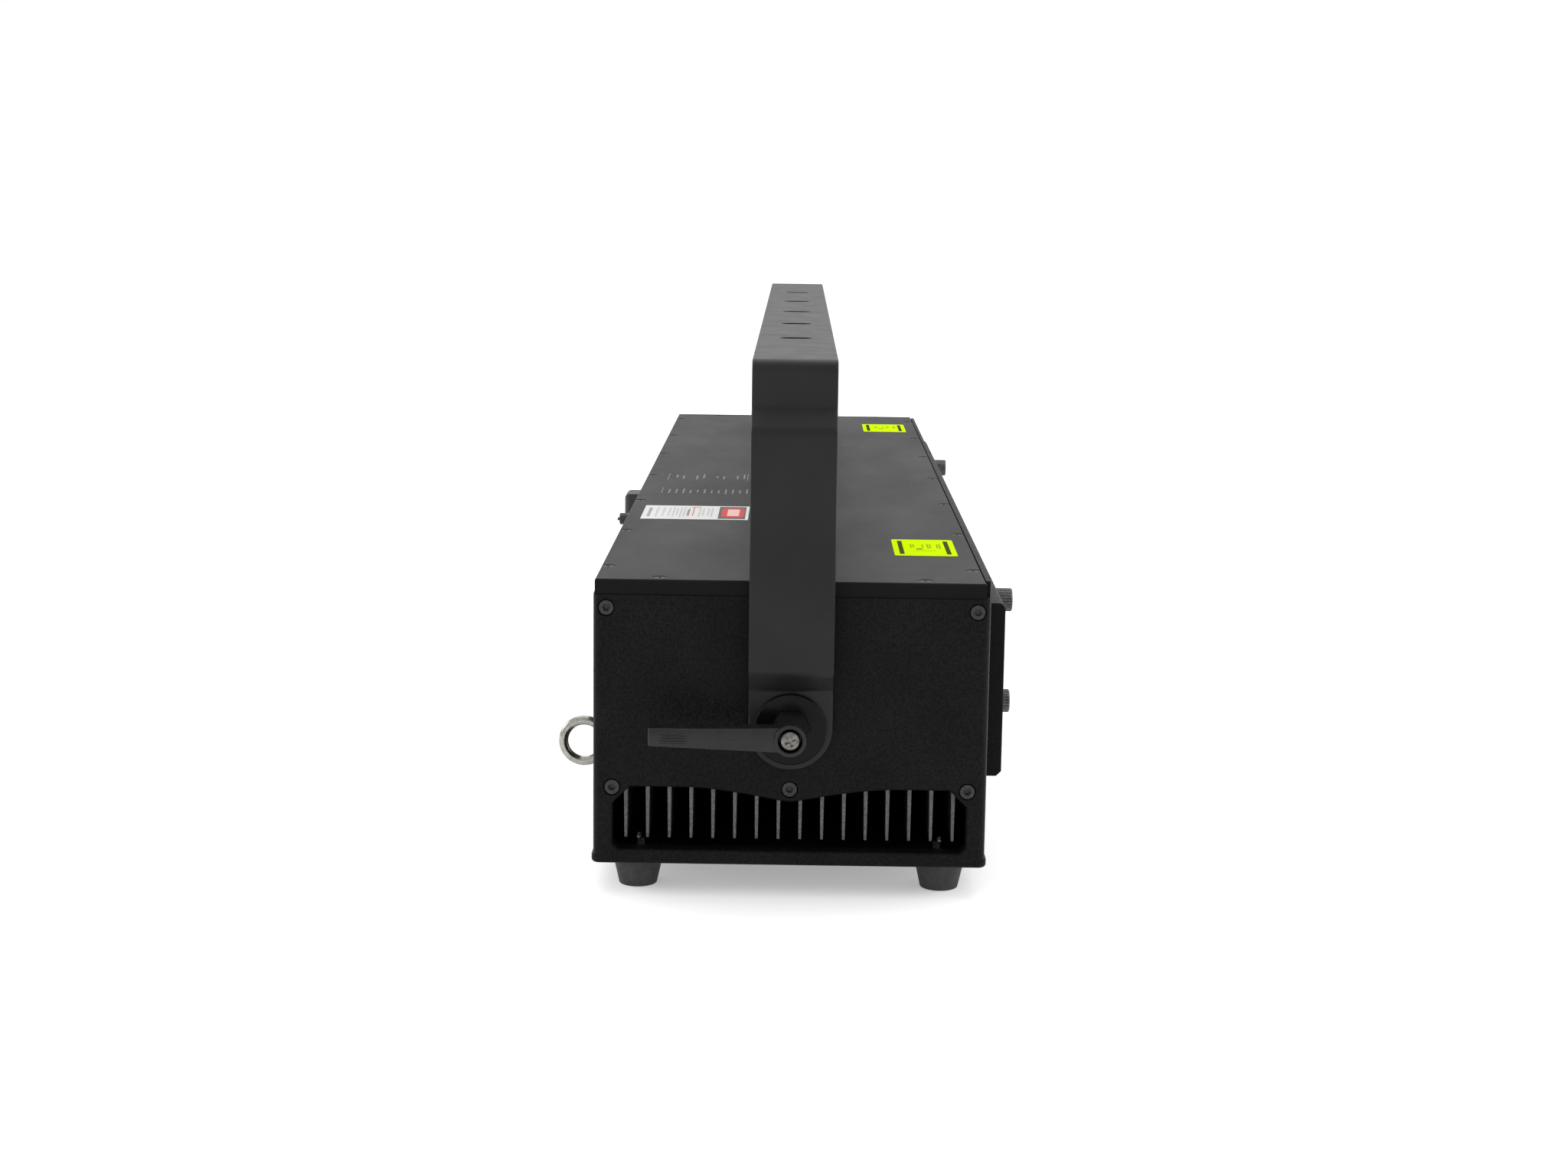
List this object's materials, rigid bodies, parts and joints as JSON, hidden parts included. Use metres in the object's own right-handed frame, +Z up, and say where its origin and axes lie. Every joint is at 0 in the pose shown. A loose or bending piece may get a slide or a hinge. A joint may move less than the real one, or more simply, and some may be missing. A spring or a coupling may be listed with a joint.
{
  "type": "stage laser projector",
  "caption": "Long black laser projector bar in a tilting yoke, with a finned air duct, a sliding beam mask, thumb screws, clamping levers, eyebolts and rear sockets.",
  "frame": {"origin": "on the floor under the middle of the housing, at the feet's level", "axes": "+X along the housing, -Y towards the beam side, +Z up"},
  "size_m": [1.08, 0.2876, 0.316],
  "materials": {
    "powder_coat": "matte",
    "cover_coat": "matte",
    "yoke_paint": "satin",
    "lever_enamel": "satin",
    "disc_plastic": "gloss",
    "black_screws": "satin",
    "zinc_steel": "satin",
    "black_aluminium": "satin",
    "foot_rubber": "matte",
    "bush_brass": "satin",
    "socket_plastic": "matte",
    "rocker_red": "gloss",
    "lock_chrome": "polished",
    "bare_aluminium": "satin",
    "window_glass": "gloss",
    "mirror_coat": "polished",
    "circuit_board": "satin",
    "caution_sticker": "satin",
    "data_sticker": "satin"
  },
  "bodies": {
    "housing": {"base_plate": "powder_coat", "end_plate_left": "powder_coat", "end_plate_right": "powder_coat", "end_plate_screws": "black_screws", "optical_bench": "black_aluminium", "cooling_fins": "black_aluminium", "front_panel": "powder_coat", "rear_panel": "powder_coat", "top_cover": "cover_coat", "cover_screws": "black_screws", "feet": "foot_rubber", "foot_screws": "zinc_steel", "beam_windows": "window_glass", "eyebolts": "zinc_steel", "pivot_bushes": "bush_brass", "power_inlet": "socket_plastic", "fuse_holder": "socket_plastic", "key_switch": "lock_chrome", "rocker_bezel": "socket_plastic", "data_sockets": "socket_plastic", "menu_display": "socket_plastic", "fan_frames": "socket_plastic", "laser_modules": "bare_aluminium", "combiner_mirrors": "mirror_coat", "scanner_blocks": "bare_aluminium", "power_supply": "bare_aluminium", "driver_boards": "circuit_board", "control_board": "circuit_board", "caution_labels": "caution_sticker", "data_label": "data_sticker"},
    "yoke_frame": {"yoke": "yoke_paint", "friction_discs": "disc_plastic"},
    "stud_left": {"lever_stud_left": "zinc_steel", "lever_screw_left": "zinc_steel", "lever_spring_left": "zinc_steel"},
    "handle_left": {"lever_left": "lever_enamel"},
    "stud_right": {"lever_stud_right": "zinc_steel", "lever_screw_right": "zinc_steel", "lever_spring_right": "zinc_steel"},
    "handle_right": {"lever_right": "lever_enamel"},
    "mask": {"mask_plate": "powder_coat"},
    "thumb_lower_left": {"thumb_screw_lower_left": "black_aluminium"},
    "thumb_lower_right": {"thumb_screw_lower_right": "black_aluminium"},
    "thumb_upper_left": {"thumb_screw_upper_left": "black_aluminium"},
    "thumb_upper_right": {"thumb_screw_upper_right": "black_aluminium"},
    "fuse_cap_body": {"fuse_cap": "socket_plastic"},
    "key_body": {"key": "zinc_steel"},
    "rocker": {"rocker_paddle": "rocker_red"},
    "menu_shaft_body": {"menu_shaft": "zinc_steel"},
    "menu_knob_body": {"menu_knob": "black_aluminium"},
    "rotor_1": {"fan_rotor_1": "socket_plastic"},
    "rotor_2": {"fan_rotor_2": "socket_plastic"},
    "rotor_3": {"fan_rotor_3": "socket_plastic"},
    "rotor_4": {"fan_rotor_4": "socket_plastic"},
    "pan_left": {"pan_mirror_left": "mirror_coat"},
    "tilt_left": {"tilt_mirror_left": "mirror_coat"},
    "pan_middle": {"pan_mirror_middle": "mirror_coat"},
    "tilt_middle": {"tilt_mirror_middle": "mirror_coat"},
    "pan_right": {"pan_mirror_right": "mirror_coat"},
    "tilt_right": {"tilt_mirror_right": "mirror_coat"}
  },
  "joints": [
    {"name": "yoke_tilt", "type": "hinge", "parent": "housing", "child": "yoke_frame", "pos_m": [0, 0, 0.103], "axis": [1, 0, 0], "range_deg": [-110, 110]},
    {"name": "lever_turn_left", "type": "hinge", "parent": "housing", "child": "stud_left", "pos_m": [-0.5, 0, 0.103], "axis": [-1, 0, 0], "continuous": true},
    {"name": "lever_lift_left", "type": "slide", "parent": "stud_left", "child": "handle_left", "axis": [-1, 0, 0], "range_m": [0, 0.004], "stiffness_N_per_m": 800, "springref_m": -0.003},
    {"name": "lever_turn_right", "type": "hinge", "parent": "housing", "child": "stud_right", "pos_m": [0.5, 0, 0.103], "axis": [1, 0, 0], "continuous": true},
    {"name": "lever_lift_right", "type": "slide", "parent": "stud_right", "child": "handle_right", "axis": [1, 0, 0], "range_m": [0, 0.004], "stiffness_N_per_m": 800, "springref_m": -0.003},
    {"name": "mask_slide", "type": "slide", "parent": "housing", "child": "mask", "axis": [0, 0, 1], "range_m": [-0.012, 0.012]},
    {"name": "thumb_turn_lower_left", "type": "hinge", "parent": "housing", "child": "thumb_lower_left", "pos_m": [-0.358, -0.115, 0.0896], "axis": [0, -1, 0], "continuous": true},
    {"name": "thumb_turn_lower_right", "type": "hinge", "parent": "housing", "child": "thumb_lower_right", "pos_m": [0.358, -0.115, 0.0896], "axis": [0, -1, 0], "continuous": true},
    {"name": "thumb_turn_upper_left", "type": "hinge", "parent": "housing", "child": "thumb_upper_left", "pos_m": [-0.358, -0.115, 0.155], "axis": [0, -1, 0], "continuous": true},
    {"name": "thumb_turn_upper_right", "type": "hinge", "parent": "housing", "child": "thumb_upper_right", "pos_m": [0.358, -0.115, 0.155], "axis": [0, -1, 0], "continuous": true},
    {"name": "fuse_cap_turn", "type": "hinge", "parent": "housing", "child": "fuse_cap_body", "pos_m": [-0.1, 0.115, 0.1674], "axis": [0, 1, 0], "range_deg": [0, 45]},
    {"name": "key_turn", "type": "hinge", "parent": "housing", "child": "key_body", "pos_m": [-0.165, 0.115, 0.125], "axis": [0, 1, 0], "range_deg": [0, 90]},
    {"name": "rocker_flip", "type": "hinge", "parent": "housing", "child": "rocker", "pos_m": [0.055, 0.111, 0.125], "axis": [1, 0, 0], "range_deg": [0, 23.4]},
    {"name": "menu_push", "type": "slide", "parent": "housing", "child": "menu_shaft_body", "axis": [0, -1, 0], "range_m": [0, 0.0015], "stiffness_N_per_m": 1500, "springref_m": -0.001},
    {"name": "menu_turn", "type": "hinge", "parent": "menu_shaft_body", "child": "menu_knob_body", "pos_m": [-0.03, 0.115, 0.11], "axis": [0, 1, 0], "continuous": true},
    {"name": "fan_spin_1", "type": "hinge", "parent": "housing", "child": "rotor_1", "pos_m": [0, -0.072, 0.046], "axis": [1, 0, 0], "continuous": true},
    {"name": "fan_spin_2", "type": "hinge", "parent": "housing", "child": "rotor_2", "pos_m": [0, -0.024, 0.046], "axis": [1, 0, 0], "continuous": true},
    {"name": "fan_spin_3", "type": "hinge", "parent": "housing", "child": "rotor_3", "pos_m": [0, 0.024, 0.046], "axis": [1, 0, 0], "continuous": true},
    {"name": "fan_spin_4", "type": "hinge", "parent": "housing", "child": "rotor_4", "pos_m": [0, 0.072, 0.046], "axis": [1, 0, 0], "continuous": true},
    {"name": "pan_scan_left", "type": "hinge", "parent": "housing", "child": "pan_left", "pos_m": [-0.3, -0.062, 0.108], "axis": [0, 1, 0], "range_deg": [-10, 10]},
    {"name": "tilt_scan_left", "type": "hinge", "parent": "housing", "child": "tilt_left", "pos_m": [-0.3, -0.062, 0.12], "axis": [1, 0, 0], "range_deg": [-10, 10]},
    {"name": "pan_scan_middle", "type": "hinge", "parent": "housing", "child": "pan_middle", "pos_m": [0, -0.062, 0.108], "axis": [0, 1, 0], "range_deg": [-10, 10]},
    {"name": "tilt_scan_middle", "type": "hinge", "parent": "housing", "child": "tilt_middle", "pos_m": [0, -0.062, 0.12], "axis": [1, 0, 0], "range_deg": [-10, 10]},
    {"name": "pan_scan_right", "type": "hinge", "parent": "housing", "child": "pan_right", "pos_m": [0.3, -0.062, 0.108], "axis": [0, 1, 0], "range_deg": [-10, 10]},
    {"name": "tilt_scan_right", "type": "hinge", "parent": "housing", "child": "tilt_right", "pos_m": [0.3, -0.062, 0.12], "axis": [1, 0, 0], "range_deg": [-10, 10]}
  ]
}
